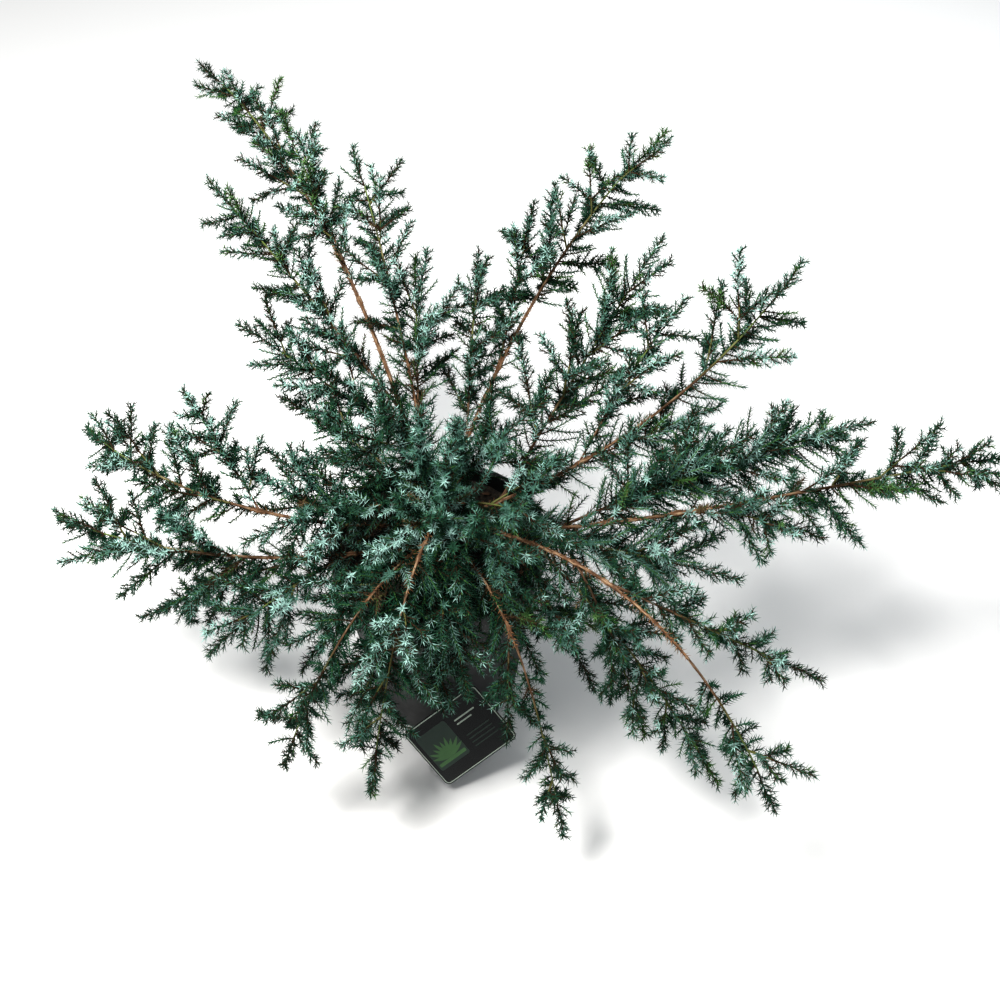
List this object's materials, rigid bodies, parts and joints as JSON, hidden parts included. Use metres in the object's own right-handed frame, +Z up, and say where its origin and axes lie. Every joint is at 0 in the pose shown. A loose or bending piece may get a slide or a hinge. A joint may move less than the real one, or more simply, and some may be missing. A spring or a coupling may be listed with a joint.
{
  "type": "potted spreading juniper",
  "caption": "Spreading juniper with arching boughs of blue-green needle sprays, growing in compost in a tapered round nursery pot with a hanging care card.",
  "frame": {"origin": "centre of the pot's flat underside", "axes": "+Z up along the pot's axis, -Y towards the viewer of the picture, +X to the viewer's right"},
  "size_m": [0.9719, 0.7991, 0.5126],
  "materials": {
    "pot": "satin black moulded plastic",
    "compost": "damp dark compost",
    "trunk_bark": "flaky grey-brown bark",
    "bough_bark": "thin orange-brown bark",
    "foliage": "matt blue-green needles with a pale bloom",
    "card": "printed gloss plastic card"
  },
  "bodies": {
    "root": {"pot": "pot", "soil": "compost", "trunk": "trunk_bark", "label": "card", "bough_back": "bough_bark", "bough_back_left": "bough_bark", "bough_back_right": "bough_bark", "bough_front": "bough_bark", "bough_front_left": "bough_bark", "bough_front_right": "bough_bark", "bough_left": "bough_bark", "bough_left_front": "bough_bark", "bough_right": "bough_bark", "bough_right_back": "bough_bark", "bough_right_front": "bough_bark", "foliage_back_left_low": "foliage", "foliage_back_left_outer": "foliage", "foliage_back_left_right": "foliage", "foliage_back_left_tip": "foliage", "foliage_back_mid": "foliage", "foliage_back_right_low": "foliage", "foliage_back_right_side": "foliage", "foliage_back_right_tip": "foliage", "foliage_back_side": "foliage", "foliage_back_tip": "foliage", "foliage_crown_back": "foliage", "foliage_crown_front": "foliage", "foliage_crown_front_left": "foliage", "foliage_crown_front_right": "foliage", "foliage_crown_left": "foliage", "foliage_crown_low": "foliage", "foliage_crown_right": "foliage", "foliage_front_left_hang": "foliage", "foliage_front_left_out": "foliage", "foliage_front_left_tip": "foliage", "foliage_front_right_out": "foliage", "foliage_front_right_side": "foliage", "foliage_front_right_tip": "foliage", "foliage_front_side": "foliage", "foliage_front_tip": "foliage", "foliage_left_back": "foliage", "foliage_left_front_low": "foliage", "foliage_left_front_side": "foliage", "foliage_left_front_tip": "foliage", "foliage_left_tip": "foliage", "foliage_left_up": "foliage", "foliage_right_back_low": "foliage", "foliage_right_back_tip": "foliage", "foliage_right_back_up": "foliage", "foliage_right_front_hang": "foliage", "foliage_right_front_low": "foliage", "foliage_right_front_side": "foliage", "foliage_right_front_tip": "foliage", "foliage_right_low": "foliage", "foliage_right_mid": "foliage", "foliage_right_side": "foliage", "foliage_right_tip": "foliage", "foliage_right_upper": "foliage", "foliage_skirt_front": "foliage", "foliage_skirt_right": "foliage"}
  },
  "joints": []
}
